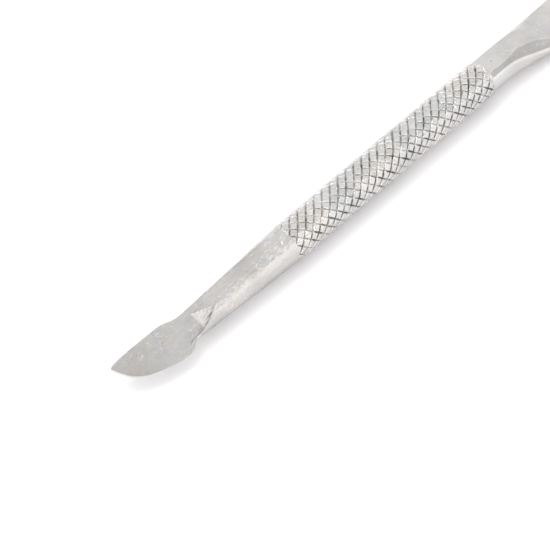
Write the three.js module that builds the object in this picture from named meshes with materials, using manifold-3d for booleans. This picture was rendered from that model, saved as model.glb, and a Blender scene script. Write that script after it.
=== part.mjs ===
// Double-ended cuticle pusher, in millimetres, +Z up.
//
// The tool lies along X on the plane z = 0: the scraping blade points to -X and the pushing spoon to +X.
// It is three pieces: a hollow knurled grip barrel, and two solid shanks whose tangs are pressed into it.
// Every x below is a position on the finished tool, whose origin is under the middle of its length.

import * as THREE from 'three';
import { mergeVertices } from 'three/addons/utils/BufferGeometryUtils.js';
import Module from 'manifold-3d';

const OVERALL_LENGTH = 120;
const BLADE_END_LENGTH = 33.8;          // blade tip to grip
const GRIP_LENGTH = 45.9;
const TIP_X = -OVERALL_LENGTH / 2;
const GRIP_START_X = TIP_X + BLADE_END_LENGTH;
const GRIP_END_X = GRIP_START_X + GRIP_LENGTH;
const SPOON_TIP_X = OVERALL_LENGTH / 2;

// Grip: a right-hand and a left-hand set of V grooves that cross and leave diamonds.
const CREST_RADIUS = 3.0;
const GROOVE_RADIUS = 2.72;
const KNURL_STARTS = 11;                // grooves in each set, side by side around the barrel
const KNURL_PITCH = 1.7965;             // groove to groove along the axis
const KNURL_PITCHES = 25;
const GRIP_FACETS = 2 * KNURL_STARTS;
const LAND_RADIUS = 2.93;               // the plain band at each end of the knurl
const END_CHAMFER = 0.12;
const BORE_RADIUS = 1.9;

// The barrel lies on its crests, so the axis of the whole tool is one crest radius up.
const AXIS_HEIGHT = CREST_RADIUS;

// Tangs: a light press fit, drawn with a small clearance.
const TANG_RADIUS = 1.85;
const TANG_LENGTH = 8;
const TANG_CHAMFER = 0.3;
const SHOULDER_GAP = 0.04;
const SHANK_FACETS = 52;

// Neck: a plain cone from the grip to the root of the blade.
const NECK_START_RADIUS = 2.89;
const NECK_END_RADIUS = 2.1;
const NECK_LENGTH = 19.9;
const NECK_NOSE_RADIUS = 0.5;           // where the cone has run down inside the blade
const NECK_NOSE_LENGTH = 4;

// Blade: a leaf-shaped plate with a straight back and a curved belly. It is rolled about the tool's axis,
// back edge up, and is drawn level first, with its heights measured from the axis.
const BLADE_ROLL = THREE.MathUtils.degToRad(20);
const BACK_HALF_WIDTH = 2.93;
const BELLY_HALF_WIDTH = 3.15;
const BLADE_THICKNESS = 1.0;
const BLADE_TIP_THICKNESS = 0.55;
const BLADE_TOP = 0.45;
const EDGE_BEVEL = 0.22;

// Root: the upper face is ground into the neck and ends in a steep ramp. A slanting wall is left along
// the belly side, where the round flank of the neck runs on beside the ground face.
const RAMP_START_X = GRIP_START_X - 18.9;
const RAMP_SLOPE = 0.7;
const RAMP_END_X = RAMP_START_X + (NECK_START_RADIUS - BLADE_TOP) / RAMP_SLOPE;
const WALL_START = new THREE.Vector2(GRIP_START_X - 21.3, -2.2);
const WALL_END = new THREE.Vector2(GRIP_START_X - 15.5, 0);

// Neck flat: a long flat on the back of the neck. It starts level with the blade, rises towards the grip
// and runs out there, and it falls towards the back edge.
const NECK_FLAT_START_X = GRIP_START_X - 16.4;
const NECK_FLAT_EDGE = 1.95;            // how far its low edge is from the axis, at its start
const NECK_FLAT_RISE = 0.107;           // along the tool
const NECK_FLAT_FALL = 0.7;             // across the tool

// Spoon end: the round shank is drawn out into a wide, thin, slightly dished paddle.
const SHANK_RADIUS = 2.78;
const SPOON_HALF_WIDTH = 4.5;
const SPOON_THICKNESS = 1.0;
const SPOON_DISH = 0.45;                // how far the rim stands above the middle of the paddle
const SHANK_LENGTH = 23;                // grip to where the paddle has its full width
const NOSE_LENGTH = 6.5;                // rounded end of the paddle
const SHANK_STRAIGHT = 3;               // grip to where it begins to be drawn out

// Shank flats: one on top that slopes down to the paddle, and one beside it that faces up and forward.
// Their heights are measured from the tool's axis.
const TOP_FLAT_HEIGHT = 1.8;
const TOP_FLAT_KNEE = 7.5;              // from here on it slopes
const TOP_FLAT_END = 16;                // past where it has run out on the paddle
const TOP_FLAT_SLOPE = 0.22;
const TOP_FLAT_TILT = THREE.MathUtils.degToRad(10);
const SIDE_FLAT_HEIGHT = 2.46;
const SIDE_FLAT_TILT = THREE.MathUtils.degToRad(28);
const UNDERSIDE_FLAT_DEPTH = 0.12;

const CUT_REACH = 60;                   // half-size of a cutting prism, beyond any part of the tool

const wasm = await Module();
wasm.setup();

// ---- helpers ----

function signedVolume(geometry) {
  const position = geometry.attributes.position;
  const index = geometry.index;
  const corners = [new THREE.Vector3(), new THREE.Vector3(), new THREE.Vector3()];
  let volume = 0;
  for (let i = 0; i < index.count; i += 3) {
    corners.forEach((corner, k) => corner.fromBufferAttribute(position, index.getX(i + k)));
    volume += corners[0].dot(corners[1].clone().cross(corners[2])) / 6;
  }
  return volume;
}

// One closed body from a three.js geometry: shared vertices merged and faces pointing out.
function closedBody(geometry) {
  const bare = new THREE.BufferGeometry();
  bare.setAttribute('position', geometry.attributes.position.clone());
  const count = geometry.attributes.position.count;
  const indices = geometry.index ? Array.from(geometry.index.array) : [...Array(count).keys()];
  bare.setIndex(indices);
  const merged = mergeVertices(bare, 1e-4);
  const kept = [];
  for (let i = 0; i < merged.index.count; i += 3) {
    const triangle = [0, 1, 2].map((k) => merged.index.getX(i + k));
    if (new Set(triangle).size === 3) kept.push(...triangle);
  }
  merged.setIndex(kept);
  if (signedVolume(merged) < 0) merged.setIndex(kept.reverse());
  return merged;
}

function toSolid(geometry) {
  const body = closedBody(geometry);
  return new wasm.Manifold(new wasm.Mesh({
    numProp: 3,
    vertProperties: new Float32Array(body.attributes.position.array),
    triVerts: new Uint32Array(body.index.array),
  }));
}

function fromSolid(solid) {
  const mesh = solid.getMesh();
  const geometry = new THREE.BufferGeometry();
  geometry.setAttribute('position', new THREE.BufferAttribute(new Float32Array(mesh.vertProperties), 3));
  geometry.setIndex(Array.from(mesh.triVerts));
  return geometry;
}

// A body turned about the tool's axis. The profile is a list of [x, radius].
function turned(profile, facets) {
  const points = profile.map(([x, radius]) => new THREE.Vector2(radius, x));
  return alongTool(new THREE.LatheGeometry(points, facets));
}

// Turns a lathe's own axis, +Y, into the tool's axis.
function alongTool(geometry) {
  geometry.rotateZ(-Math.PI / 2);
  geometry.translate(0, 0, AXIS_HEIGHT);
  return geometry;
}

// Rolls a shape that was drawn level around the axis, and lifts it to its place.
function rolledWithBlade(geometry) {
  geometry.rotateX(BLADE_ROLL);
  geometry.translate(0, 0, AXIS_HEIGHT);
  return geometry;
}

// A prism across the tool whose side view is a polygon of [x, z].
function sidePrism(outline) {
  const shape = new THREE.Shape(outline.map(([x, z]) => new THREE.Vector2(x, z)));
  const prism = new THREE.ExtrudeGeometry(shape, { depth: 2 * CUT_REACH, bevelEnabled: false });
  prism.rotateX(Math.PI / 2);
  prism.translate(0, CUT_REACH, 0);
  return prism;
}

// ---- grip barrel ----

function gripProfile() {
  const knurlLength = KNURL_PITCHES * KNURL_PITCH;
  const land = (GRIP_LENGTH - knurlLength) / 2;
  const columns = 2 * KNURL_PITCHES;
  const endRadius = LAND_RADIUS - END_CHAMFER;
  const profile = [[GRIP_START_X, BORE_RADIUS], [GRIP_START_X, endRadius]];
  profile.push([GRIP_START_X + END_CHAMFER, LAND_RADIUS]);
  const firstColumn = profile.length;
  for (let column = 0; column <= columns; column += 1) {
    profile.push([GRIP_START_X + land + column * KNURL_PITCH / 2, LAND_RADIUS]);
  }
  profile.push([GRIP_END_X - END_CHAMFER, LAND_RADIUS]);
  profile.push([GRIP_END_X, endRadius], [GRIP_END_X, BORE_RADIUS], [GRIP_START_X, BORE_RADIUS]);
  return { profile, firstColumn, lastColumn: firstColumn + columns };
}

// The knurl is a lattice of half a pitch by half a groove spacing. Lattice points are in turn a groove
// crossing and the crest of a diamond, and each cell is split along the groove that runs through it.
function gripGeometry() {
  const { profile, firstColumn, lastColumn } = gripProfile();
  const rows = profile.length;
  const points = profile.map(([x, radius]) => new THREE.Vector2(radius, x));
  const geometry = new THREE.LatheGeometry(points, GRIP_FACETS);
  const position = geometry.attributes.position;
  const isCrossing = (facet, row) => (facet + row) % 2 === 0;
  const indices = [];
  for (let facet = 0; facet <= GRIP_FACETS; facet += 1) {
    for (let row = firstColumn + 1; row < lastColumn; row += 1) {
      const vertex = facet * rows + row;
      const scale = (isCrossing(facet, row) ? GROOVE_RADIUS : CREST_RADIUS) / LAND_RADIUS;
      position.setX(vertex, position.getX(vertex) * scale);
      position.setZ(vertex, position.getZ(vertex) * scale);
    }
  }
  for (let facet = 0; facet < GRIP_FACETS; facet += 1) {
    for (let row = 0; row < rows - 1; row += 1) {
      const near = facet * rows + row;
      const side = near + rows;
      const inKnurl = row >= firstColumn && row < lastColumn;
      if (inKnurl && isCrossing(facet, row)) {
        indices.push(near, side, side + 1, near, side + 1, near + 1);
      } else {
        indices.push(near, side, near + 1, side + 1, near + 1, side);
      }
    }
  }
  geometry.setIndex(indices);
  return closedBody(alongTool(geometry));
}

// ---- blade shank ----

function neckAndTang() {
  const tangEnd = GRIP_START_X + TANG_LENGTH;
  const shoulder = GRIP_START_X - SHOULDER_GAP;
  const neckEnd = GRIP_START_X - NECK_LENGTH;
  return turned([
    [neckEnd - NECK_NOSE_LENGTH, 0],
    [neckEnd - NECK_NOSE_LENGTH, NECK_NOSE_RADIUS],
    [neckEnd, NECK_END_RADIUS],
    [shoulder - END_CHAMFER, NECK_START_RADIUS],
    [shoulder, NECK_START_RADIUS - END_CHAMFER],
    [shoulder, TANG_RADIUS],
    [tangEnd - TANG_CHAMFER, TANG_RADIUS],
    [tangEnd, TANG_RADIUS - TANG_CHAMFER],
    [tangEnd, 0],
  ], SHANK_FACETS);
}

// Plan view of the blade, drawn inside its bevel so that the bevelled plate has the full width.
function bladeOutline() {
  const back = BACK_HALF_WIDTH - EDGE_BEVEL;
  const belly = -(BELLY_HALF_WIDTH - EDGE_BEVEL);
  const neck = NECK_END_RADIUS - EDGE_BEVEL;
  const tip = TIP_X + EDGE_BEVEL;
  const shape = new THREE.Shape();
  shape.moveTo(TIP_X + 15.6, neck);
  shape.lineTo(TIP_X + 13.4, neck);
  shape.bezierCurveTo(TIP_X + 11.6, neck, TIP_X + 11.0, back, TIP_X + 9.3, back);
  shape.lineTo(TIP_X + 4.6, back);
  shape.bezierCurveTo(TIP_X + 3.5, back, TIP_X + 2.6, back, TIP_X + 1.2, 2.6);
  shape.bezierCurveTo(TIP_X + 0.5, 2.54, tip, 2.5, tip, 2.3);
  shape.bezierCurveTo(TIP_X + 0.4, 1.9, TIP_X + 0.75, 1.0, TIP_X + 1.64, 0.02);
  shape.bezierCurveTo(TIP_X + 3.0, -1.5, TIP_X + 5.3, -2.0, TIP_X + 7.06, -2.47);
  shape.bezierCurveTo(TIP_X + 8.4, -2.83, TIP_X + 9.3, belly, TIP_X + 10.3, belly);
  shape.bezierCurveTo(TIP_X + 11.6, belly, TIP_X + 12.0, -2.2, TIP_X + 13.4, -neck);
  shape.lineTo(TIP_X + 15.6, -neck);
  return shape;
}

// The underside rises towards the tip and the top stays level.
function bladePlate() {
  const plate = new THREE.ExtrudeGeometry(bladeOutline(), {
    depth: BLADE_THICKNESS - 2 * EDGE_BEVEL,
    bevelThickness: EDGE_BEVEL,
    bevelSize: EDGE_BEVEL,
    bevelSegments: 1,
    curveSegments: 10,
  });
  plate.translate(0, 0, EDGE_BEVEL - BLADE_THICKNESS);
  const position = plate.attributes.position;
  const bladeLength = GRIP_START_X - NECK_LENGTH - TIP_X;
  for (let i = 0; i < position.count; i += 1) {
    const along = THREE.MathUtils.clamp((position.getX(i) - TIP_X) / bladeLength, 0, 1);
    const thickness = THREE.MathUtils.lerp(BLADE_TIP_THICKNESS, BLADE_THICKNESS, along);
    position.setZ(i, BLADE_TOP + position.getZ(i) * thickness / BLADE_THICKNESS);
  }
  return rolledWithBlade(plate);
}

// Side view of what is ground away above the blade's top and up the ramp.
function groundAwaySide() {
  const above = 2 * CREST_RADIUS;
  return sidePrism([
    [TIP_X - CUT_REACH, BLADE_TOP],
    [RAMP_START_X, BLADE_TOP],
    [RAMP_END_X, NECK_START_RADIUS],
    [RAMP_END_X, above],
    [TIP_X - CUT_REACH, above],
  ]);
}

// Plan view of the same, bounded by the slanting wall on the belly side.
function groundAwayPlan() {
  const slope = (WALL_END.y - WALL_START.y) / (WALL_END.x - WALL_START.x);
  const pastEnd = new THREE.Vector2(WALL_END.x + 2, WALL_END.y + 2 * slope);
  const plan = new THREE.Shape([
    new THREE.Vector2(TIP_X - CUT_REACH / 2, -CUT_REACH),
    new THREE.Vector2(WALL_START.x, -CUT_REACH),
    WALL_START,
    pastEnd,
    new THREE.Vector2(pastEnd.x, CUT_REACH),
    new THREE.Vector2(TIP_X - CUT_REACH / 2, CUT_REACH),
  ]);
  const prism = new THREE.ExtrudeGeometry(plan, { depth: 2 * CUT_REACH, bevelEnabled: false });
  prism.translate(0, 0, -CUT_REACH);
  return prism;
}

function rootCut() {
  const side = toSolid(rolledWithBlade(groundAwaySide()));
  return side.intersect(toSolid(rolledWithBlade(groundAwayPlan())));
}

// The material above the long flat on the back of the neck.
function neckFlatCut() {
  const block = new THREE.BoxGeometry(2 * CUT_REACH, CUT_REACH, CUT_REACH);
  const up = new THREE.Vector3(0, 0, 1);
  const facing = new THREE.Vector3(-NECK_FLAT_RISE, NECK_FLAT_FALL, 1).normalize();
  block.translate(0, 0, CUT_REACH / 2);
  block.applyQuaternion(new THREE.Quaternion().setFromUnitVectors(up, facing));
  block.translate(NECK_FLAT_START_X, NECK_FLAT_EDGE, BLADE_TOP);
  return rolledWithBlade(block);
}

function bladeShankGeometry() {
  const neck = toSolid(neckAndTang()).subtract(rootCut()).subtract(toSolid(neckFlatCut()));
  return fromSolid(neck.add(toSolid(bladePlate())));
}

// ---- pusher shank ----

// Half-width and the heights of the top and the underside, at a distance from the grip.
function paddleSection(distance) {
  const spoonLength = SPOON_TIP_X - GRIP_END_X;
  const drawn = THREE.MathUtils.smoothstep(distance, SHANK_STRAIGHT, SHANK_LENGTH);
  const noseStart = spoonLength - NOSE_LENGTH;
  const intoNose = THREE.MathUtils.clamp((distance - noseStart) / NOSE_LENGTH, 0, 1);
  const round = Math.sqrt(1 - intoNose * intoNose);
  const fullTop = AXIS_HEIGHT + SHANK_RADIUS;
  const halfWidth = THREE.MathUtils.lerp(SHANK_RADIUS, SPOON_HALF_WIDTH, drawn) * round;
  const top = THREE.MathUtils.lerp(fullTop, SPOON_THICKNESS, drawn);
  const bottom = THREE.MathUtils.lerp(AXIS_HEIGHT - SHANK_RADIUS, -UNDERSIDE_FLAT_DEPTH, drawn);
  return { halfWidth, top, bottom, dish: SPOON_DISH * drawn };
}

function shankStations() {
  const spoonLength = SPOON_TIP_X - GRIP_END_X;
  const noseStart = spoonLength - NOSE_LENGTH;
  const stations = [];
  const straightSteps = 16;
  for (let step = 0; step <= straightSteps; step += 1) {
    stations.push(SHOULDER_GAP + (noseStart - SHOULDER_GAP) * step / straightSteps);
  }
  const noseSteps = 8;
  for (let step = 1; step <= noseSteps; step += 1) {
    stations.push(noseStart + NOSE_LENGTH * Math.sin(Math.PI / 2 * step / noseSteps));
  }
  return stations;
}

// A unit-radius lathe whose rings are stretched to the paddle's section and dished across its width.
function paddleLoft() {
  const stations = shankStations();
  const points = [new THREE.Vector2(0, stations[0])];
  stations.slice(0, -1).forEach((station) => points.push(new THREE.Vector2(1, station)));
  points.push(new THREE.Vector2(0, stations[stations.length - 1]));
  const geometry = new THREE.LatheGeometry(points, SHANK_FACETS);
  geometry.rotateZ(-Math.PI / 2);
  const position = geometry.attributes.position;
  for (let i = 0; i < position.count; i += 1) {
    const section = paddleSection(position.getX(i));
    const across = position.getY(i);
    const middle = (section.top + section.bottom) / 2;
    const halfHeight = (section.top - section.bottom) / 2;
    const lift = section.dish * across * across;
    position.setXYZ(
      i,
      GRIP_END_X + position.getX(i),
      across * section.halfWidth,
      middle + position.getZ(i) * halfHeight + lift,
    );
  }
  return geometry;
}

function pusherTang() {
  const start = GRIP_END_X - TANG_LENGTH;
  return turned([
    [start, 0],
    [start, TANG_RADIUS - TANG_CHAMFER],
    [start + TANG_CHAMFER, TANG_RADIUS],
    [GRIP_END_X + 1, TANG_RADIUS],
    [GRIP_END_X + 1, 0],
  ], SHANK_FACETS);
}

// A block above a side view of [distance from the grip, height from the axis], tilted about the axis.
function shankFlatCut(heights, tilt) {
  const first = heights[0][0];
  const last = heights[heights.length - 1][0];
  const above = 2 * CREST_RADIUS;
  const outline = [...heights, [last, above], [first, above]];
  const block = sidePrism(outline.map(([distance, height]) => [GRIP_END_X + distance, height]));
  block.rotateX(tilt);
  block.translate(0, 0, AXIS_HEIGHT);
  return toSolid(block);
}

// The flat on top, which slopes down until the paddle falls away below it.
function topFlatCut() {
  const drop = (TOP_FLAT_END - TOP_FLAT_KNEE) * TOP_FLAT_SLOPE;
  return shankFlatCut([
    [SHOULDER_GAP, TOP_FLAT_HEIGHT],
    [TOP_FLAT_KNEE, TOP_FLAT_HEIGHT],
    [TOP_FLAT_END, TOP_FLAT_HEIGHT - drop],
  ], -TOP_FLAT_TILT);
}

function sideFlatCut() {
  return shankFlatCut([
    [SHOULDER_GAP, SIDE_FLAT_HEIGHT],
    [TOP_FLAT_KNEE, SIDE_FLAT_HEIGHT],
    [TOP_FLAT_END, SIDE_FLAT_HEIGHT],
  ], SIDE_FLAT_TILT);
}

function groundCut() {
  return sidePrism([
    [-CUT_REACH * 2, 0],
    [-CUT_REACH * 2, -CUT_REACH],
    [CUT_REACH * 2, -CUT_REACH],
    [CUT_REACH * 2, 0],
  ]);
}

function pusherShankGeometry() {
  const shank = toSolid(paddleLoft()).add(toSolid(pusherTang()));
  const flattened = shank.subtract(topFlatCut()).subtract(sideFlatCut());
  return fromSolid(flattened.subtract(toSolid(groundCut())));
}

// ---- assembly ----

function steel(color, roughness) {
  return new THREE.MeshStandardMaterial({ color, roughness, metalness: 0.95 });
}

function piece(name, geometry, material) {
  const mesh = new THREE.Mesh(geometry, material);
  mesh.name = name;
  return mesh;
}

const cuticlePusher = new THREE.Group();
cuticlePusher.name = 'cuticle_pusher';
cuticlePusher.add(piece('grip_barrel', gripGeometry(), steel(0xd2d2ce, 0.3)));
cuticlePusher.add(piece('blade_shank', bladeShankGeometry(), steel(0xc8c7c2, 0.38)));
cuticlePusher.add(piece('pusher_shank', pusherShankGeometry(), steel(0xd0cfca, 0.34)));

export default cuticlePusher;
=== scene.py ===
import math
import random

import bmesh
import bpy
from mathutils import Matrix, Vector, noise


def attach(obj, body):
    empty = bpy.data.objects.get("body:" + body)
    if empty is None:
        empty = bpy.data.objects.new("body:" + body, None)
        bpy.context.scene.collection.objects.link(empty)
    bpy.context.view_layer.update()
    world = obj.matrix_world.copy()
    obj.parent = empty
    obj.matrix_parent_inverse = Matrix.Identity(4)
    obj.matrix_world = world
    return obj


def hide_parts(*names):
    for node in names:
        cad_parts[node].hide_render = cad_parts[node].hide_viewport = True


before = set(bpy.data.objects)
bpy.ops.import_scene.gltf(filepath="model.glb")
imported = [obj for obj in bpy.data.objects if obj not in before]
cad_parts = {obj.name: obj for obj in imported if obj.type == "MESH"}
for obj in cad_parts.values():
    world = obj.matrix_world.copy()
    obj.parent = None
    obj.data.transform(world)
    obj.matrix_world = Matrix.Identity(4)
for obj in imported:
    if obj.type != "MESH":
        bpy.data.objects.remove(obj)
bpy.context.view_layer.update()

# ---- sizes in millimetres, the same as the CAD's; the tool's axis is along X ----

MM_PER_METRE = 1000

TIP_X = -60.0
GRIP_START_X = -26.2
GRIP_END_X = 19.7
SPOON_TIP_X = 60.0
AXIS_HEIGHT = 3.0

CREST_RADIUS = 3.0
GROOVE_DEPTH = 0.27
KNURL_STARTS = 11
KNURL_PITCH = 1.7965
KNURL_SHIFT = 0.178
KNURL_TURN = 0.195
BORE_RADIUS = 1.9
TANG_RADIUS = 1.85
TANG_LENGTH = 8.0
TANG_CHAMFER = 0.3
SHOULDER_OVERLAP = 0.15

NECK_START_RADIUS = 2.89
NECK_END_RADIUS = 2.1
NECK_LENGTH = 19.9

BLADE_ROLL = math.radians(20.0)
BACK_HALF_WIDTH = 2.92
HEEL_HALF_WIDTH = 2.82
BELLY_HALF_WIDTH = 3.15
BLADE_TOP = 0.45
BLADE_THICKNESS = 1.0
BLADE_TIP_THICKNESS = 0.55

SHANK_RADIUS = 2.78
SHANK_STRAIGHT = 3.0
SHANK_LENGTH = 23.0
SPOON_HALF_WIDTH = 4.5
SPOON_THICKNESS = 1.0
SPOON_DISH = 0.45
SPOON_NOSE = 6.5


def smoothstep(low, high, value):
    t = min(max((value - low) / (high - low), 0.0), 1.0)
    return t * t * (3.0 - 2.0 * t)


def lerp(a, b, t):
    return a + (b - a) * t


def evenly(first, last, steps):
    return [lerp(first, last, i / steps) for i in range(steps + 1)]


def interpolate(stations, value):
    """Straight-line interpolation in a list of (position, result) pairs."""
    if value <= stations[0][0]:
        return stations[0][1]
    for (x0, y0), (x1, y1) in zip(stations, stations[1:]):
        if value <= x1:
            return lerp(y0, y1, (value - x0) / (x1 - x0))
    return stations[-1][1]


def bezier(p0, p1, p2, p3, steps):
    points = []
    for i in range(steps + 1):
        t = i / steps
        s = 1.0 - t
        weights = (s * s * s, 3 * s * s * t, 3 * s * t * t, t * t * t)
        points.append(tuple(sum(w * p[k] for w, p in zip(weights, (p0, p1, p2, p3))) for k in (0, 1)))
    return points


# ---- building meshes ----

def new_object(name, vertices, faces, sharp_degrees):
    """A mesh object from vertices in millimetres measured from the tool's axis."""
    mesh = bpy.data.meshes.new(name)
    placed = []
    for x, y, z in vertices:
        placed.append((x / MM_PER_METRE, y / MM_PER_METRE, (z + AXIS_HEIGHT) / MM_PER_METRE))
    mesh.from_pydata(placed, [], faces)
    mesh.validate()
    mesh.shade_smooth()
    mesh.set_sharp_from_angle(angle=math.radians(sharp_degrees))
    mesh.update()
    thing = bpy.data.objects.new(name, mesh)
    bpy.context.scene.collection.objects.link(thing)
    return thing


def loft(rings):
    """Closed body through rings of equal length, in order of x, with a fan over each end.

    Each ring turns from +Z towards +Y.
    """
    count = len(rings[0])
    vertices = [point for ring in rings for point in ring]
    faces = []
    for r in range(len(rings) - 1):
        for i in range(count):
            j = (i + 1) % count
            faces.append((r * count + i, (r + 1) * count + i, (r + 1) * count + j, r * count + j))
    for ring_index, flip in ((0, False), (len(rings) - 1, True)):
        ring = rings[ring_index]
        centre = tuple(sum(p[k] for p in ring) / count for k in range(3))
        vertices.append(centre)
        hub = len(vertices) - 1
        for i in range(count):
            j = (i + 1) % count
            first, second = ring_index * count + i, ring_index * count + j
            faces.append((hub, second, first) if flip else (hub, first, second))
    return vertices, faces


def tang_rings(neighbour, direction):
    """Rings of the plain tang that goes into the grip's bore, starting from the shank ring it grows out of."""
    rings = []
    for offset, radius in ((0.0, TANG_RADIUS), (TANG_LENGTH - TANG_CHAMFER, TANG_RADIUS),
                           (TANG_LENGTH, TANG_RADIUS - TANG_CHAMFER)):
        ring = []
        for x, y, z in neighbour:
            size = math.hypot(y, z)
            ring.append((x + direction * offset, y * radius / size, z * radius / size))
        rings.append(ring)
    return rings


# ---- knurled grip ----
# Phases count grooves: a groove of the first or second set lies where phase_1 or phase_2 is a whole number.

# Mesh lines in one groove pitch, closest together near the groove.
GROOVE_LINES = (0.0, 0.05, 0.10, 0.155, 0.22, 0.34, 0.5, 0.66, 0.78, 0.845, 0.90, 0.95)
GROOVE_HALF_WIDTH = 0.155
# Burrs stand up beside each groove and fade out at this distance from it.
BURR = 0.25
BURR_REACH = 0.42

# The side where the first set is deeper. Ranges of "1 - cos" of the angle from its middle: none, full.
DEEP_SIDE_ANGLE = math.radians(160.0)
DEEP_SIDE_RANGE = (0.45, 0.08)
DEEP_SIDE_GAIN = 0.30
DEEP_SIDE_HALF_WIDTH = 0.22
DEEP_SIDE_UNEVENNESS = 0.6
SHALLOW_SIDE_LOSS = 0.32

# The flat on the back of the neck runs a little way into the knurl.
BACK_LAND = 0.7
BACK_LAND_ANGLE = math.radians(20.0)
BACK_LAND_RANGE = (0.75, 0.1)

# Distances from each end of the grip over which the knurl starts.
NEAR_FADE = (-0.4, 0.5)
NEAR_FADE_RAGGEDNESS = 0.5
FAR_FADE = (0.25, 0.8)

DEPTH_UNEVENNESS = 0.5
DIAMOND_TILT = 0.12
DIAMOND_SINK = 0.05
CREST_WEAR = 0.05
CREST_STAND_PROUD = 0.02

GRIP_STEPS_BEFORE_START = 8
CUT_TOLERANCE = 0.05
MERGE_DISTANCE = 1e-4
# End, outward direction, and how far its rim stands out from the cut and draws in.
GRIP_RIMS = ((GRIP_START_X, -1, 0.0, 0.04), (GRIP_END_X, 1, 0.1, 0.14))


def away_from(angle, middle):
    return 1.0 - math.cos(angle - middle)


def groove_profile(phase, half_width):
    """Height from 0 at the bottom of a groove to 1 on the crest."""
    distance = abs(phase - round(phase))
    if distance < half_width:
        return distance / half_width * (1.0 + BURR)
    return 1.0 + BURR * (1.0 - smoothstep(half_width, BURR_REACH, distance))


def knurl_height(angle, phase_1, phase_2):
    """Height of the crossed grooves. On one side the first set was rolled in deeper than the second."""
    lopsided = smoothstep(*DEEP_SIDE_RANGE, away_from(angle, DEEP_SIDE_ANGLE))
    uneven = DEEP_SIDE_UNEVENNESS * noise.noise(Vector((phase_1 * 0.9, phase_2 * 0.9, 11.0)))
    deep = 1.0 + (DEEP_SIDE_GAIN + uneven) * lopsided
    shallow = 1.0 - (SHALLOW_SIDE_LOSS + uneven) * lopsided
    wide = lerp(GROOVE_HALF_WIDTH, DEEP_SIDE_HALF_WIDTH, lopsided)
    first = 1.0 - deep * (1.0 - groove_profile(phase_1, wide))
    second = 1.0 - shallow * (1.0 - groove_profile(phase_2, GROOVE_HALF_WIDTH))
    return min(first, second)


def grip_radius(x, angle, phase_1, phase_2, tilt):
    """Distance of the knurled surface from the axis; each diamond leans by its own tilt."""
    ragged = NEAR_FADE_RAGGEDNESS * noise.noise(Vector((phase_1 * 0.45, phase_2 * 0.45, 3.0)))
    ground_back = BACK_LAND * smoothstep(*BACK_LAND_RANGE, away_from(angle, BACK_LAND_ANGLE))
    near_fade = smoothstep(*NEAR_FADE, x - GRIP_START_X - ground_back + ragged)
    fade = near_fade * smoothstep(*FAR_FADE, GRIP_END_X - x)
    uneven = 1.0 + DEPTH_UNEVENNESS * noise.noise(Vector((phase_1 * 0.8, phase_2 * 0.8, 7.0)))
    depth = GROOVE_DEPTH * fade * uneven
    crest = lerp(NECK_START_RADIUS, CREST_RADIUS, fade)
    low = knurl_height(angle, phase_1, phase_2)
    across_1 = phase_1 - math.floor(phase_1) - 0.5
    across_2 = phase_2 - math.floor(phase_2) - 0.5
    lean = (tilt[0] * across_1 + tilt[1] * across_2 + tilt[2]) * min(low, 1.0)
    radius = crest - depth * (1.0 - low) - CREST_WEAR * fade + lean * fade
    return min(radius, CREST_RADIUS + CREST_STAND_PROUD)


def knurled_grip():
    """An open tube whose mesh lines follow both sets of grooves. It runs past both ends of the grip."""
    lines = len(GROOVE_LINES)
    around = KNURL_STARTS * lines
    grip_length = GRIP_END_X - GRIP_START_X
    reach = int(math.ceil(2 * grip_length / KNURL_PITCH / 2 + 1)) * 2 * lines
    tilts = {}
    index_of = {}
    vertices = []

    def tilt_of(phase_1, phase_2):
        turns = math.floor(phase_2 / KNURL_STARTS)
        key = (math.floor(phase_1) - turns * KNURL_STARTS, math.floor(phase_2) - turns * KNURL_STARTS)
        if key not in tilts:
            source = random.Random(key[0] * 1009 + key[1])
            lean_1 = source.uniform(-DIAMOND_TILT, DIAMOND_TILT)
            lean_2 = source.uniform(-DIAMOND_TILT, DIAMOND_TILT)
            tilts[key] = (lean_1, lean_2, source.uniform(-DIAMOND_SINK, 0.0))
        return tilts[key]

    def phase(line):
        return line // lines + GROOVE_LINES[line % lines]

    def vertex(i, j):
        turns = j // around
        key = (i - turns * around, j - turns * around)
        if key not in index_of:
            phase_1, phase_2 = phase(key[0]), phase(key[1])
            x = GRIP_START_X + KNURL_SHIFT + (phase_1 - phase_2) / 2 * KNURL_PITCH
            angle = (phase_1 + phase_2) * math.pi / KNURL_STARTS + KNURL_TURN
            radius = grip_radius(x, angle, phase_1, phase_2, tilt_of(phase_1, phase_2))
            index_of[key] = len(vertices)
            vertices.append((x, radius * math.cos(angle), radius * math.sin(angle)))
        return index_of[key]

    faces = []
    for j in range(around):
        for step in range(-GRIP_STEPS_BEFORE_START, reach):
            i = j + step
            faces.append((vertex(i, j), vertex(i + 1, j), vertex(i + 1, j + 1), vertex(i, j + 1)))
    return vertices, faces


def cut_square(work):
    for x, side in ((GRIP_START_X, -1), (GRIP_END_X, 1)):
        everything = work.verts[:] + work.edges[:] + work.faces[:]
        bmesh.ops.bisect_plane(work, geom=everything, dist=1e-5, plane_co=(x, 0, 0),
                               plane_no=(side, 0, 0), clear_outer=True)
    bmesh.ops.remove_doubles(work, verts=work.verts[:], dist=MERGE_DISTANCE)


def extruded_ring(work, edges, new_radius, shift):
    """New ring of edges grown from the given ones, moved along X and to a radius worked out from the old one."""
    grown = bmesh.ops.extrude_edge_only(work, edges=edges)["geom"]
    for v in [g for g in grown if isinstance(g, bmesh.types.BMVert)]:
        radius = math.hypot(v.co.y, v.co.z)
        wanted = new_radius(radius)
        v.co.y *= wanted / radius
        v.co.z *= wanted / radius
        v.co.x += shift
    return [g for g in grown if isinstance(g, bmesh.types.BMEdge)]


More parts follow.
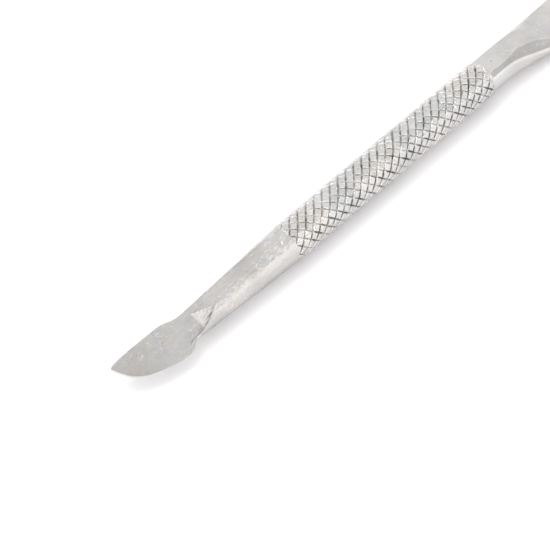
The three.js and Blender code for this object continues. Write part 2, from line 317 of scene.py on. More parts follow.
def in_fixed_order(mesh):
    """Vertices sorted by place, and faces by their corners. Extruding leaves them in no fixed order."""
    places = [tuple(v.co) for v in mesh.vertices]
    order = sorted(range(len(places)), key=lambda i: places[i])
    new_index = {old: new for new, old in enumerate(order)}
    faces = sorted(tuple(new_index[i] for i in polygon.vertices) for polygon in mesh.polygons)
    return [places[i] for i in order], faces


def trimmed_grip():
    """The knurl cut square at both ends, with rims drawn in, end faces and a bore right through."""
    vertices, faces = knurled_grip()
    mesh = bpy.data.meshes.new("grip_work")
    mesh.from_pydata(vertices, [], faces)
    work = bmesh.new()
    work.from_mesh(mesh)
    cut_square(work)
    bore_edges = []
    for end_x, side, stand_out, draw_in in GRIP_RIMS:
        edges = [e for e in work.edges if e.is_boundary
                 and all(abs(v.co.x - end_x) < CUT_TOLERANCE for v in e.verts)]
        edges = extruded_ring(work, edges, lambda radius: radius - draw_in, side * stand_out)
        bore_edges += extruded_ring(work, edges, lambda radius: BORE_RADIUS, 0.0)
    bmesh.ops.bridge_loops(work, edges=bore_edges)
    bmesh.ops.recalc_face_normals(work, faces=work.faces[:])
    work.to_mesh(mesh)
    work.free()
    built = in_fixed_order(mesh)
    bpy.data.meshes.remove(mesh)
    return built


# ---- forged unevenness ----

BROAD_DEPTH = 0.02
NECK_BROAD_DEPTH = 0.04
BLADE_HAMMER_DEPTH = 0.004
NECK_HAMMER_DEPTH = 0.040
SPOON_HAMMER_DEPTH = 0.006
# The blade's surface changes to the neck's between these positions, and is even again beside the grip.
NECK_FORGING_RANGE = (-20.0, -15.0)
EVEN_AT_GRIP = 1.2
SMALLEST_REACH = 0.3


def forged_offset(x, y, z, broad_depth, hammer_depth):
    """Shallow unevenness left by forging and hand polishing: broad waves and small hammer marks."""
    broad = noise.noise(Vector((x * 0.35, y * 0.9, z * 0.9)))
    hammer = noise.noise(Vector((x * 2.2, y * 2.2 + 9.0, z * 2.2)))
    return broad_depth * broad + hammer_depth * hammer


def off_centre(x, y, centre, size):
    """0 at the centre of a nick, growing with the square of the distance from it."""
    return ((x - centre[0]) / size[0]) ** 2 + ((y - centre[1]) / size[1]) ** 2


def pushed_out(y, z, amount):
    size = max(math.hypot(y, z), SMALLEST_REACH)
    return y + amount * y / size, z + amount * z / size


# ---- blade shank ----
# Positions along it ("local") are measured from the start of the grip, so they are negative.

RIM_ANGLE = math.radians(8.0)
CREASE = [(-22.9, -2.8), (-21.3, -2.35), (-19.8, -1.90), (-18.6, -1.60), (-16.5, -0.60), (-15.4, 0.0)]
CREASE_DEPTH = 0.24
CREASE_WIDTH = 0.34
CREASE_STARTS = (-22.6, -21.4)
CREASE_ENDS = (-14.8, -16.0)
LOWEST_CREASE_ANGLE = -1.3
LIP_HEIGHT = 0.18
LIP_POINTS = 4.0
NICK = (-20.4, -2.35)
NICK_SIZE = (0.30, 0.14)
NICK_DEPTH = 0.3

# The flat blade changes into the round neck between these positions.
PLATE_TO_NECK = (-22.3, -19.1)
RAMP_FOOT = -18.9
RAMP_SLOPE = 0.70
BACK_FACET_SLOPE = [(-18.9, 1.10), (-15.0, 0.85), (-12.0, 0.70)]
BACK_FACET_EDGE = [(-18.9, 1.10), (-15.0, 1.60), (-12.0, 1.95)]
BACK_FACET_LIFT = [(-16.4, 0.0), (-12.9, 0.30), (-7.9, 0.72), (-4.0, 1.05), (-1.5, 1.40), (0.0, 1.75)]
GRIND_MARK_SPACING = 0.34
GRIND_MARK_SLANT = 0.12
GRIND_MARK_DEPTH = 0.11
GRIND_MARK_START = (0.05, 0.5)
GRIND_MARK_EVENNESS = 0.6

TOP_ROUNDING = 0.05
TOP_ROUNDING_SHARE = 0.1
TOP_ROUNDING_DROP = 0.012
BEVEL_WIDTH = 0.9
BEVEL_SHARE = 0.3
CREASE_MARGIN_SHARE = 0.12
CREASE_STEP_SHARE = 0.01
CREASE_STEP_ANGLE = 0.03
BACK_WALL = 0.30
BELLY_WALL = 0.05
NOSE_WALL = 0.49
NOSE_WALL_RANGE = (1.8, 4.2)

# Points in each part of a ring: belly side of the crease, the ground top, each rim, and the underside.
BELLY_STEPS, TOP_STEPS, RIM_STEPS, UNDER_STEPS = 26, 88, 5, 60


def blade_edges():
    """Two lists of (x, y): the back edge and the belly edge, from the tip to the neck."""
    neck = NECK_END_RADIUS
    back, heel_back, belly = BACK_HALF_WIDTH, HEEL_HALF_WIDTH, -BELLY_HALF_WIDTH

    def from_tip(*points, steps=24):
        return bezier(*[(TIP_X + x, y) for x, y in points], steps)

    corner = from_tip((0.0, 2.35), (0.0, 2.66), (0.4, 2.76), (1.2, 2.82), steps=16)
    long_back = from_tip((1.2, 2.82), (2.6, back), (3.5, back), (4.6, back))
    shoulder = from_tip((9.3, heel_back), (11.0, heel_back), (11.6, neck), (13.4, neck))
    front = from_tip((0.0, 2.35), (0.2, 1.9), (0.55, 0.9), (1.48, -0.13))
    curve = from_tip((1.48, -0.13), (2.9, -1.7), (5.2, -2.2), (7.0, -2.68))
    long_belly = from_tip((7.0, -2.68), (8.4, -3.05), (9.3, belly), (10.3, belly))
    heel = from_tip((10.3, belly), (11.6, belly), (12.0, -2.35), (13.4, -neck))
    return corner + long_back[1:] + shoulder, front + curve[1:] + long_belly[1:] + heel[1:]


BACK_EDGE, BELLY_EDGE = blade_edges()


def neck_radius(x):
    along = (GRIP_START_X - x) / NECK_LENGTH
    return lerp(NECK_START_RADIUS, NECK_END_RADIUS, min(along, 1.0))


def ground_height(x, y):
    """Height of the ground top above the axis: level on the blade, a steep ramp, then the neck's sloping back."""
    local = x - GRIP_START_X
    climb = max(0.0, local - RAMP_FOOT)
    across_marks = 2 * math.pi * (y - GRIND_MARK_SLANT * climb) / GRIND_MARK_SPACING
    marks = max(math.sin(across_marks), 0.0) ** 3
    ragged = noise.noise(Vector((x * 1.5, y * 3.0, 4.0)))
    ramp = BLADE_TOP + climb * RAMP_SLOPE
    ramp += GRIND_MARK_DEPTH * marks * (GRIND_MARK_EVENNESS + ragged) * smoothstep(*GRIND_MARK_START, climb)
    return min(ramp, back_facet(local, y))


def back_facet(local, y):
    """The long flat on the back of the neck, which falls towards the blade's back edge."""
    lift = interpolate(BACK_FACET_LIFT, local)
    slope = interpolate(BACK_FACET_SLOPE, local)
    return BLADE_TOP + lift + max(0.0, interpolate(BACK_FACET_EDGE, local) - y) * slope


def neck_ring(x, crease_angle):
    """Round section as (y, z), from the belly rim over the top; point BELLY_STEPS lies at the crease."""
    radius = neck_radius(x)
    edge = math.pi / 2 - RIM_ANGLE
    angles = evenly(-edge, crease_angle, BELLY_STEPS)
    angles += evenly(crease_angle + CREASE_STEP_ANGLE, edge, TOP_STEPS)
    angles += evenly(edge, math.pi - edge, RIM_STEPS)[1:-1]
    angles += evenly(math.pi - edge, math.pi + edge, UNDER_STEPS)
    angles += evenly(math.pi + edge, 2 * math.pi - edge, RIM_STEPS)[1:-1]
    return [(radius * math.sin(a), radius * math.cos(a)) for a in angles]


def plate_ring(x, crease_y):
    """Flat section of the blade as (y, z), with its points in the same order as neck_ring's."""
    back = interpolate(BACK_EDGE, x)
    belly = interpolate(BELLY_EDGE, x)
    along = smoothstep(0.0, 1.0, (x - TIP_X) / (GRIP_START_X - NECK_LENGTH - TIP_X))
    thickness = lerp(BLADE_TIP_THICKNESS, BLADE_THICKNESS, along)
    width = back - belly
    bevel = min(BEVEL_WIDTH, width * BEVEL_SHARE)
    top_round = min(TOP_ROUNDING, width * TOP_ROUNDING_SHARE)
    rim_top = BLADE_TOP - TOP_ROUNDING_DROP
    nose = 1.0 - smoothstep(*NOSE_WALL_RANGE, x - TIP_X)
    belly_rim_low = rim_top - lerp(BELLY_WALL, NOSE_WALL, nose)
    back_rim_low = rim_top - BACK_WALL
    floor_z = BLADE_TOP - thickness
    margin_beside_crease = CREASE_MARGIN_SHARE * width
    crease = min(max(crease_y, belly + margin_beside_crease), back - margin_beside_crease)

    def top(y):
        margin = min(y - belly, back - y)
        return lerp(rim_top, BLADE_TOP, smoothstep(0.0, top_round, margin))

    def low(y):
        to_belly = min(max((y - belly) / bevel, 0.0), 1.0)
        to_back = min(max((back - y) / bevel, 0.0), 1.0)
        if to_belly < to_back:
            return lerp(belly_rim_low, floor_z, to_belly)
        return lerp(back_rim_low, floor_z, to_back)

    def eased(i, n):
        return math.sin(i / n * math.pi / 2)

    points = []
    for i in range(BELLY_STEPS + 1):
        y = lerp(belly, crease, 1 - eased(BELLY_STEPS - i, BELLY_STEPS))
        points.append((y, top(y)))
    start = crease + CREASE_STEP_SHARE * width
    for i in range(TOP_STEPS + 1):
        y = lerp(start, back, eased(i, TOP_STEPS))
        points.append((y, top(y)))
    points += [(back, z) for z in evenly(rim_top, back_rim_low, RIM_STEPS)[1:-1]]
    for i in range(UNDER_STEPS + 1):
        y = lerp(back, belly, 0.5 - 0.5 * math.cos(i / UNDER_STEPS * math.pi))
        points.append((y, low(y)))
    points += [(belly, z) for z in evenly(belly_rim_low, rim_top, RIM_STEPS)[1:-1]]
    return points


def blade_stations():
    """Positions of the rings along the blade shank, closest together at the tip and around the ramp."""
    tip = [TIP_X + 2.4 * (i / 26) ** 2 for i in range(1, 27)]
    blade = evenly(TIP_X + 2.5, GRIP_START_X - 20.3, 84)
    around_ramp = evenly(GRIP_START_X - 20.2, GRIP_START_X - 15.3, 90)
    neck = evenly(GRIP_START_X - 15.1, GRIP_START_X + SHOULDER_OVERLAP, 96)
    return tip + blade + around_ramp + neck


def blade_ring(x):
    """One ring before the roll: neck and plate sections mixed, then ground on top, with the crease and its lip."""
    local = x - GRIP_START_X
    crease_y = interpolate(CREASE, local)
    crease_angle = max(math.asin(max(crease_y / neck_radius(x), -1.0)), LOWEST_CREASE_ANGLE)
    plate_share = 1.0 - smoothstep(*PLATE_TO_NECK, local)
    round_ring = neck_ring(x, crease_angle)
    flat_ring = plate_ring(x, crease_y) if local < PLATE_TO_NECK[1] else round_ring
    creased = smoothstep(*CREASE_STARTS, local) * smoothstep(*CREASE_ENDS, local)
    ring = []
    for i, ((round_y, round_z), (flat_y, flat_z)) in enumerate(zip(round_ring, flat_ring)):
        y, z = lerp(round_y, flat_y, plate_share), lerp(round_z, flat_z, plate_share)
        if i <= BELLY_STEPS:
            z = min(z, max(BLADE_TOP, lerp(round_z, BLADE_TOP, plate_share)), back_facet(local, y))
            z += LIP_HEIGHT * creased * smoothstep(LIP_POINTS, 0.0, BELLY_STEPS - i)
            off_nick = off_centre(local, y, NICK, NICK_SIZE)
            z -= NICK_DEPTH * math.exp(-off_nick)
        elif i < BELLY_STEPS + TOP_STEPS + 2:
            z = min(z, ground_height(x, y))
            from_crease = max(y - ring[BELLY_STEPS][1], 0.0)
            z -= CREASE_DEPTH * creased * math.exp(-from_crease / CREASE_WIDTH)
        ring.append((x, y, z))
    return ring


def forged_and_rolled(ring):
    """The ring with the forged unevenness added, turned about the tool's axis."""
    roll_cos, roll_sin = math.cos(BLADE_ROLL), math.sin(BLADE_ROLL)
    moved = []
    for x, y, z in ring:
        fade = smoothstep(0.0, EVEN_AT_GRIP, GRIP_START_X - x)
        on_neck = smoothstep(*NECK_FORGING_RANGE, x - GRIP_START_X)
        broad_depth = lerp(BROAD_DEPTH, NECK_BROAD_DEPTH, on_neck)
        hammer_depth = lerp(BLADE_HAMMER_DEPTH, NECK_HAMMER_DEPTH, on_neck)
        y, z = pushed_out(y, z, forged_offset(x, y, z, broad_depth, hammer_depth) * fade)
        moved.append((x, y * roll_cos - z * roll_sin, y * roll_sin + z * roll_cos))
    return moved


def blade_shank():
    rings = [forged_and_rolled(blade_ring(x)) for x in blade_stations()]
    return loft(rings + tang_rings(rings[-1], 1))


# ---- pusher shank ----
# Positions along it ("distance") are measured from the end of the grip.

FLATS_END = 16.0
# Each side flat: how far its normal is raised from -Y, and the share of the radius that it leaves.
SIDE_FLATS = [(math.radians(62.0), 0.885), (math.radians(36.0), 0.988)]
SIDE_FLATS_FADE_START = 9.0
TOP_FLAT = [(0.0, 1.80), (7.5, 1.68), (FLATS_END, -0.36)]
TOP_FLAT_TILT = math.tan(math.radians(10.0))
TOP_FLAT_TILT_FADE_START = 6.0
SHANK_NICK = (2.9, 0.35)
SHANK_NICK_SIZE = (0.28, 0.16)
SHANK_NICK_DEPTH = 0.22
# Below 1, these powers of sine and cosine square the paddle's section; 1 leaves it round.
PADDLE_SQUARENESS = 0.72
NOSE_THINNING = 0.45
PADDLE_POINTS = 144
SHANK_RINGS, NOSE_RINGS = 230, 60
SPOON_TIP_CLEARANCE = 0.0005
SPOON_NOISE_SHIFT = 31.0


def shank_section(distance):
    """Half width, middle height, half height and how far the shank is drawn out, 0 to 1."""
    drawn = smoothstep(SHANK_STRAIGHT, SHANK_LENGTH, distance)
    nose_start = SPOON_TIP_X - GRIP_END_X - SPOON_NOSE
    into_nose = min(max((distance - nose_start) / SPOON_NOSE, 0.0), 0.9999)
    rounded = math.sqrt(1.0 - into_nose * into_nose)
    half_width = lerp(SHANK_RADIUS, SPOON_HALF_WIDTH, drawn) * rounded
    top = lerp(SHANK_RADIUS, SPOON_THICKNESS - AXIS_HEIGHT, drawn)
    bottom = lerp(-SHANK_RADIUS, -AXIS_HEIGHT, drawn)
    thinned = lerp(1.0, 1.0 - NOSE_THINNING + NOSE_THINNING * rounded, drawn)
    return half_width, (top + bottom) / 2, (top - bottom) / 2 * thinned, drawn


def cut_by_side_flats(y, rise, half_width, half_height, flat_share):
    for normal, share in SIDE_FLATS:
        support = math.hypot(half_width * math.cos(normal), half_height * math.sin(normal))
        reach = rise * math.sin(normal) - y * math.cos(normal)
        limit = support * lerp(1.0, share, flat_share)
        if reach > limit:
            y, rise = y * limit / reach, rise * limit / reach
    return y, rise


def paddle_ring(x):
    distance = x - GRIP_END_X
    half_width, middle, half_height, drawn = shank_section(distance)
    power = lerp(1.0, PADDLE_SQUARENESS, drawn)
    flat_top = interpolate(TOP_FLAT, distance)
    tilt = TOP_FLAT_TILT * smoothstep(FLATS_END, TOP_FLAT_TILT_FADE_START, distance)
    flat_share = smoothstep(FLATS_END, SIDE_FLATS_FADE_START, distance)
    ring = []
    for i in range(PADDLE_POINTS):
        angle = 2 * math.pi * i / PADDLE_POINTS
        across, height = math.sin(angle), math.cos(angle)
        across = math.copysign(abs(across) ** power, across)
        height = math.copysign(abs(height) ** power, height)
        y, rise = cut_by_side_flats(across * half_width, height * half_height, half_width, half_height,
                                    flat_share)
        z = middle + rise + SPOON_DISH * drawn * across * across
        if distance < FLATS_END:
            z = min(z, max(flat_top - tilt * y, middle))
        off_nick = off_centre(distance, y, SHANK_NICK, SHANK_NICK_SIZE)
        ring.append((x, y, max(z - SHANK_NICK_DEPTH * math.exp(-off_nick), -AXIS_HEIGHT)))
    return ring


def forged_above_floor(ring):
    moved = []
    for x, y, z in ring:
        amount = forged_offset(x + SPOON_NOISE_SHIFT, y, z, BROAD_DEPTH, SPOON_HAMMER_DEPTH)
        new_y, new_z = pushed_out(y, z, amount)
        moved.append((x, new_y, max(new_z, -AXIS_HEIGHT)))
    return moved


def pusher_shank():
    nose_start = SPOON_TIP_X - SPOON_NOSE
    stations = evenly(GRIP_END_X - SHOULDER_OVERLAP, nose_start, SHANK_RINGS)
    for i in range(1, NOSE_RINGS + 1):
        x = nose_start + SPOON_NOSE * math.sin(i / NOSE_RINGS * math.pi / 2)
        stations.append(min(x, SPOON_TIP_X - SPOON_TIP_CLEARANCE))
    rings = [forged_above_floor(paddle_ring(x)) for x in stations]
    return loft(tang_rings(rings[0], -1)[::-1] + rings)


# ---- node trees ----

class Tree:
    """Short ways to add nodes to a material's or a world's tree. Each gives the new node's output."""

    def __init__(self, owner):
        owner.use_nodes = True
        self.nodes = owner.node_tree.nodes
        self.links = owner.node_tree.links

    def feed(self, socket, value):
        """Put a number or a tuple into a socket, or link another node's output to it."""
        if isinstance(value, bpy.types.NodeSocket):
            self.links.new(value, socket)
        else:
            socket.default_value = value

    def math(self, operation, *values):
        node = self.nodes.new("ShaderNodeMath")
        node.operation = operation
        for socket, value in zip(node.inputs, values):
            self.feed(socket, value)
        return node.outputs[0]

    def vector_math(self, operation, *values):
        node = self.nodes.new("ShaderNodeVectorMath")
        node.operation = operation
        for socket, value in zip(node.inputs, values):
            self.feed(socket, value)
        return node

    def scaled(self, vector, factor):
        node = self.vector_math("SCALE", vector)
        self.feed(node.inputs["Scale"], factor)
        return node.outputs["Vector"]

    def separated(self, vector):
        node = self.nodes.new("ShaderNodeSeparateXYZ")
        self.links.new(vector, node.inputs["Vector"])
        return node.outputs

    def in_range(self, source, start, end, at_start, at_end, interpolation="SMOOTHSTEP"):
        """Change from at_start to at_end while the source goes from start to end."""
        node = self.nodes.new("ShaderNodeMapRange")
        node.interpolation_type = interpolation
        node.inputs["From Min"].default_value = start
        node.inputs["From Max"].default_value = end
        node.inputs["To Min"].default_value = at_start
        node.inputs["To Max"].default_value = at_end
        self.links.new(source, node.inputs["Value"])
        return node.outputs["Result"]

    def color_ramp(self, source, stops):
        node = self.nodes.new("ShaderNodeValToRGB")
        while len(node.color_ramp.elements) < len(stops):
            node.color_ramp.elements.new(0.5)
        for element, (position, color) in zip(node.color_ramp.elements, stops):
            element.position = position
            element.color = (*color, 1.0)
        self.links.new(source, node.inputs["Fac"])
        return node.outputs["Color"]

    def noise(self, place, scale, detail, roughness, stretch=(1.0, 1.0, 1.0), turn=0.0):
        mapping = self.nodes.new("ShaderNodeMapping")
        mapping.vector_type = "TEXTURE"
        mapping.inputs["Scale"].default_value = tuple(1.0 / factor for factor in stretch)
        mapping.inputs["Rotation"].default_value = (0.0, 0.0, turn)
        self.links.new(place.outputs["Object"], mapping.inputs["Vector"])
        texture = self.nodes.new("ShaderNodeTexNoise")
        texture.inputs["Scale"].default_value = scale
        texture.inputs["Detail"].default_value = detail
        texture.inputs["Roughness"].default_value = roughness
        self.links.new(mapping.outputs["Vector"], texture.inputs["Vector"])
        return texture.outputs["Fac"]

    def bump(self, height, strength, distance, normal=None):
        node = self.nodes.new("ShaderNodeBump")
        self.feed(node.inputs["Strength"], strength)
        node.inputs["Distance"].default_value = distance
        self.links.new(height, node.inputs["Height"])
        if normal:
            self.links.new(normal, node.inputs["Normal"])
        return node.outputs["Normal"]


# ---- steel: positions in metres in the object's own frame ----

# Painted highlight on the nose's ground edge, which is where the normal's Z is between these, near the tip.
NOSE_EDGE_TOP = (0.60, 0.35)
NOSE_EDGE_UNDER = (-0.75, -0.55)
NOSE_EDGE_REACH = (-0.0552, -0.0570)

# Painted shade in the bottoms of the grooves, standing in for their shade and dark reflections: stronger and more
# even on the front side of the grip.
PAINTED_SHADE_FRONT = (-0.0019, -0.0026)
PAINTED_SHADE_FRONT_SHARE = 0.85
PAINTED_SHADE_FRONT_RISE = 0.00014
PAINTED_SHADE_PATCH_SCALE = 1100.0
PAINTED_SHADE_PATCHES = (0.42, 0.66)
PAINTED_SHADE_PATCH_SHARE = 0.85

CLOUD_RANGE = (0.35, 0.65)
PIT_EDGE = (0.66, 0.74)
PIT_SHADE = (0.72, 0.72, 0.72)

SCRATCH_SCALE = 5200.0
SCRATCH_STRETCH = (0.08, 1.0, 1.0)
SCRATCH_LINE = (0.64, 0.72)
SCRATCH_PATCHES = (0.50, 0.60)

# The wavy strip along the front of the neck, in Y.
WAVE_STRIP_RISE = (-0.0021, -0.0015)
WAVE_STRIP_FALL = (-0.0007, 0.0003)
WAVE_HEIGHT = 0.0004
BRUSH_SCALE = 900.0
BRUSH_HEIGHT = 0.00004


def mottled_color(tree, place, tint, options):
    """Warm and cool patches round the tint, with small dark pits."""
    def scaled(color, factor):
        return tuple(min(c * factor, 1.0) for c in color)

    spread = options["mottle"]
    warm = (tint[0] * (1 + spread * 0.4), tint[1], tint[2] * (1 - spread * 0.5))
    cool = (tint[0] * (1 - spread * 0.3), tint[1] * (1 + spread * 0.25), tint[2])
    colors = tree.color_ramp(tree.noise(place, options["mottle_scale"], 5.0, 0.6), [
        (0.28, scaled(cool, 1 - spread)),
        (0.45, tint),
        (0.58, warm),
        (0.75, scaled(tint, 1 + spread)),
    ])
    pits = tree.noise(place, options["pit_scale"], 2.0, 0.5)
    pit_mask = tree.color_ramp(pits, [(PIT_EDGE[0], (1, 1, 1)), (PIT_EDGE[1], PIT_SHADE)])
    spotted = tree.nodes.new("ShaderNodeMix")
    spotted.data_type = "RGBA"
    spotted.blend_type = "MULTIPLY"
    spotted.inputs["Factor"].default_value = options["pits"]
    tree.links.new(colors, spotted.inputs["A"])
    tree.links.new(pit_mask, spotted.inputs["B"])
    return spotted.outputs["Result"]


def with_painted_nose_highlight(tree, place, color, gain):
    """Painted highlight: brighten the ground edge round the blade's nose."""
    facing = tree.separated(place.outputs["Normal"])["Z"]
    along = tree.separated(place.outputs["Object"])["X"]
    steep = tree.in_range(facing, *NOSE_EDGE_TOP, 0.0, 1.0)
    not_under = tree.in_range(facing, *NOSE_EDGE_UNDER, 0.0, 1.0)
    at_nose = tree.in_range(along, *NOSE_EDGE_REACH, 0.0, 1.0)
    edge = tree.math("MULTIPLY", tree.math("MULTIPLY", steep, not_under), at_nose)
    return tree.scaled(color, tree.in_range(edge, 0.0, 1.0, 1.0, gain))


def with_painted_groove_shade(tree, place, color, painted_shade_level, radius_range):
    """Painted shade: darken the bottoms of the grooves, by distance from the tool's axis."""
    from_axis = tree.vector_math("SUBTRACT", place.outputs["Object"], (0.0, 0.0, AXIS_HEIGHT / MM_PER_METRE))
    across = tree.vector_math("MULTIPLY", from_axis.outputs["Vector"], (0.0, 1.0, 1.0))
    distance = tree.vector_math("LENGTH", across.outputs["Vector"]).outputs["Value"]
    y = tree.separated(place.outputs["Object"])["Y"]
    front_side = tree.in_range(y, *PAINTED_SHADE_FRONT, 0.0, PAINTED_SHADE_FRONT_SHARE)
    lowered = tree.math("MULTIPLY_ADD", front_side, -PAINTED_SHADE_FRONT_RISE, distance)
    depth = tree.in_range(lowered, *radius_range, 1.0, 0.0)
    patches = tree.noise(place, PAINTED_SHADE_PATCH_SCALE, 2.0, 0.6)
    patchy = tree.in_range(patches, *PAINTED_SHADE_PATCHES, 0.0, PAINTED_SHADE_PATCH_SHARE)
    shaded_amount = tree.math("MULTIPLY", depth, tree.math("MAXIMUM", patchy, front_side))
    return tree.scaled(color, tree.in_range(shaded_amount, 0.0, 1.0, 1.0, painted_shade_level))


def with_scratches(tree, place, color, options):
    """Bright hair scratches in patches, one set for each direction."""
    patches = tree.noise(place, options["scratch_patch_scale"], 1.0, 0.5)
    patch_mask = tree.in_range(patches, *SCRATCH_PATCHES, 0.0, 1.0)
    for turn in options["scratch_turns"]:
        marks = tree.noise(place, SCRATCH_SCALE, 1.0, 0.5, SCRATCH_STRETCH, turn)
        line = tree.in_range(marks, *SCRATCH_LINE, 0.0, 1.0)
        masked = tree.math("MULTIPLY", line, patch_mask)
        color = tree.scaled(color, tree.in_range(masked, 0.0, 1.0, 1.0, options["scratch_gain"]))
    return color


def wave_strength(tree, place, options):
    """Even waves, or waves that grow in a strip along the neck where the options give a stretch of X."""
    if "wavy_from" not in options:
        return options["wave"]
    position = tree.separated(place.outputs["Object"])
    along = tree.in_range(position["X"], *options["wavy_from"], 0.0, 1.0)
    rising = tree.in_range(position["Y"], *WAVE_STRIP_RISE, 0.0, 1.0)
    falling = tree.in_range(position["Y"], *WAVE_STRIP_FALL, 1.0, 0.0)
    strip = tree.math("MULTIPLY", tree.math("MULTIPLY", rising, falling), along)
    return tree.in_range(strip, 0.0, 1.0, options["wave"], options["wave_in_strip"])


def steel_material(name, tint, options):
    material = bpy.data.materials.new(name)
    tree = Tree(material)
    tree.nodes.clear()
    output = tree.nodes.new("ShaderNodeOutputMaterial")
    shader = tree.nodes.new("ShaderNodeBsdfPrincipled")
    tree.links.new(shader.outputs["BSDF"], output.inputs["Surface"])
    shader.inputs["Metallic"].default_value = 1.0
    place = tree.nodes.new("ShaderNodeTexCoord")

    color = mottled_color(tree, place, tint, options)
    # Painted shade: the colour is darkened towards the blade's tip.
    if "painted_tip_shade" in options:
        along = tree.separated(place.outputs["Object"])["X"]
        color = tree.scaled(color, tree.in_range(along, *options["painted_tip_shade"], 1.0))
    # Painted highlight on the ground edge of the nose.
    if "painted_nose_highlight" in options:
        color = with_painted_nose_highlight(tree, place, color, options["painted_nose_highlight"])
    clouds = tree.noise(place, options["cloud_scale"], 3.0, 0.5)
    color = tree.scaled(color, tree.in_range(clouds, *CLOUD_RANGE, *options["clouds"]))
    # Painted shade in the grooves of the knurl.
    if "painted_shade_level" in options:
        color = with_painted_groove_shade(tree, place, color, options["painted_shade_level"], options["painted_shade_radius"])
    color = with_scratches(tree, place, color, options)
    tree.links.new(color, shader.inputs["Base Color"])

    brushing = tree.noise(place, BRUSH_SCALE, 4.0, 0.65, options["brush_stretch"])
    roughness = tree.in_range(brushing, 0.0, 1.0, *options["roughness"], interpolation="LINEAR")
    tree.links.new(roughness, shader.inputs["Roughness"])

    waves = tree.noise(place, options["wave_scale"], 3.0, 0.55)
    waved = tree.bump(waves, wave_strength(tree, place, options), WAVE_HEIGHT)
    brushed = tree.bump(brushing, options["brush_depth"], BRUSH_HEIGHT, waved)
    tree.links.new(brushed, shader.inputs["Normal"])
    return material


def place_piece(name, built, sharp_degrees, material, node):
    vertices, faces = built
    thing = new_object(name, vertices, faces, sharp_degrees)
    thing.data.materials.append(material)
    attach(thing, "root")
    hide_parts(node)


grip_steel = steel_material("grip_steel", (0.590, 0.582, 0.576), {
    "mottle_scale": 260.0, "mottle": 0.06, "pit_scale": 2500.0, "pits": 0.5,
    "brush_stretch": (0.3, 1.0, 1.0), "brush_depth": 0.4, "roughness": (0.16, 0.34),
    "wave_scale": 2600.0, "wave": 0.40,
    "cloud_scale": 300.0, "clouds": (0.94, 1.05),
    # painted shade in the groove bottoms
    "painted_shade_level": 0.30, "painted_shade_radius": (0.00264, 0.00280),
    "scratch_patch_scale": 300.0, "scratch_turns": (0.5,), "scratch_gain": 1.15,
})
blade_steel = steel_material("blade_steel", (0.533, 0.524, 0.517), {
    "mottle_scale": 420.0, "mottle": 0.07, "pit_scale": 1800.0, "pits": 0.6,
    "brush_stretch": (0.15, 1.0, 1.0), "brush_depth": 0.5, "roughness": (0.20, 0.38),
    "wave_scale": 1500.0, "wave": 0.16, "wave_in_strip": 0.80, "wavy_from": (-0.0430, -0.0410),
    "cloud_scale": 190.0, "clouds": (0.92, 1.05),
    "painted_tip_shade": (-0.057, -0.051, 0.90), "painted_nose_highlight": 1.50,
    # painted highlight on the nose edge
    # painted shade darkening towards the tip
    "scratch_patch_scale": 280.0, "scratch_turns": (0.6, 1.5, 2.6), "scratch_gain": 1.28,
})
spoon_steel = steel_material("spoon_steel", (0.563, 0.552, 0.546), {
    "mottle_scale": 300.0, "mottle": 0.05, "pit_scale": 1800.0, "pits": 0.5,
    "brush_stretch": (0.1, 1.0, 1.0), "brush_depth": 0.5, "roughness": (0.12, 0.26),
    "wave_scale": 600.0, "wave": 0.15,
    "cloud_scale": 150.0, "clouds": (0.94, 1.06),
    "scratch_patch_scale": 250.0, "scratch_turns": (0.3, 2.2), "scratch_gain": 1.2,
})

place_piece("grip", trimmed_grip(), 34, grip_steel, "grip_barrel")
place_piece("blade", blade_shank(), 40, blade_steel, "blade_shank")
place_piece("pusher", pusher_shank(), 35, spoon_steel, "pusher_shank")


# ---- floor, light and camera, in metres ----

FLOOR_HALF_SIZE = 1.5
FLOOR_COLOR = (0.935, 0.925, 0.935, 1.0)

# Level of the sky against the angle around the tool's axis, in degrees from the front horizon (-Y) over the top.
SKY_BANDS = [
    (0, 0.80), (20, 0.78), (36, 0.86), (50, 0.58), (62, 0.42), (75, 0.46), (82, 0.53), (92, 0.61), (109, 0.66),
    (128, 0.62), (150, 0.57), (180, 0.54),
]
SKY_STRENGTH = 1.93
SIDE_PANEL = 1.25
SIDE_PANEL_RANGE = (-0.15, -0.5)

KEY_POSITION = (-0.25, 0.30, 0.95)
KEY_SIZE = 0.45
KEY_POWER = 1.7

CAMERA_ELEVATION = math.radians(47.0)
CAMERA_TURN = math.radians(49.45)
CAMERA_DISTANCE = 0.400
CAMERA_TARGET = Vector((-0.02907, -0.00081, 0.0))
FOCAL_PIXELS = 2800.5
FRAME_PIXELS = 550.0
SENSOR_WIDTH = 36.0


def floor():
    mesh = bpy.data.meshes.new("floor")
    half = FLOOR_HALF_SIZE
    mesh.from_pydata([(-half, -half, 0), (half, -half, 0), (half, half, 0), (-half, half, 0)], [], [(0, 1, 2, 3)])
    thing = bpy.data.objects.new("floor", mesh)
    bpy.context.scene.collection.objects.link(thing)
    material = bpy.data.materials.new("floor_white")
    material.use_nodes = True
    shader = material.node_tree.nodes["Principled BSDF"]
    shader.inputs["Base Color"].default_value = FLOOR_COLOR
    shader.inputs["Roughness"].default_value = 0.7
    mesh.materials.append(material)


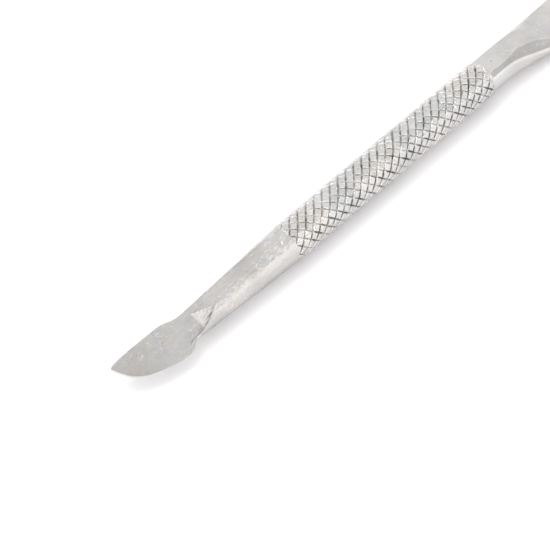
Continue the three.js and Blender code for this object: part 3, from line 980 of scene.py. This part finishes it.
def key_light():
    data = bpy.data.lights.new("key", "AREA")
    data.shape = "DISK"
    data.size = KEY_SIZE
    data.energy = KEY_POWER
    thing = bpy.data.objects.new("key", data)
    thing.location = KEY_POSITION
    towards_tool = -Vector(KEY_POSITION)
    thing.rotation_euler = towards_tool.to_track_quat("-Z", "Y").to_euler()
    bpy.context.scene.collection.objects.link(thing)


def surroundings():
    """A white studio dome in soft bands that run along the tool.

    There is a bright panel low in front of it, a dimmer gap above the panel, then an even ceiling over the top
    and down behind. The dome is brighter beyond the blade's end.
    """
    world = bpy.data.worlds.new("studio")
    tree = Tree(world)
    background = tree.nodes["Background"]
    place = tree.nodes.new("ShaderNodeTexCoord")
    direction = tree.separated(place.outputs["Generated"])
    towards_front = tree.math("MULTIPLY", direction["Y"], -1.0)
    angle = tree.math("ARCTAN2", direction["Z"], towards_front)
    share = tree.math("DIVIDE", angle, math.pi)
    bands = tree.color_ramp(share, [(degrees / 180.0, (level,) * 3) for degrees, level in SKY_BANDS])
    side = tree.in_range(direction["X"], *SIDE_PANEL_RANGE, 1.0, SIDE_PANEL)
    tree.links.new(tree.scaled(bands, side), background.inputs["Color"])
    background.inputs["Strength"].default_value = SKY_STRENGTH
    bpy.context.scene.world = world


def camera():
    right = Vector((math.cos(CAMERA_TURN), -math.sin(CAMERA_TURN), 0.0))
    away = Vector((math.sin(CAMERA_TURN), math.cos(CAMERA_TURN), 0.0))
    back = -math.cos(CAMERA_ELEVATION) * away + math.sin(CAMERA_ELEVATION) * Vector((0, 0, 1))
    up = back.cross(right)
    data = bpy.data.cameras.new("camera")
    data.sensor_width = SENSOR_WIDTH
    data.lens = FOCAL_PIXELS * SENSOR_WIDTH / FRAME_PIXELS
    data.clip_start = 0.01
    data.clip_end = 20.0
    thing = bpy.data.objects.new("camera", data)
    spot = CAMERA_TARGET + back * CAMERA_DISTANCE
    turn = Matrix((right, up, back)).transposed().to_4x4()
    thing.matrix_world = Matrix.Translation(spot) @ turn
    bpy.context.scene.collection.objects.link(thing)
    bpy.context.scene.camera = thing


floor()
surroundings()
key_light()
camera()

bpy.context.scene.view_settings.view_transform = "Standard"
bpy.context.scene.view_settings.look = "None"
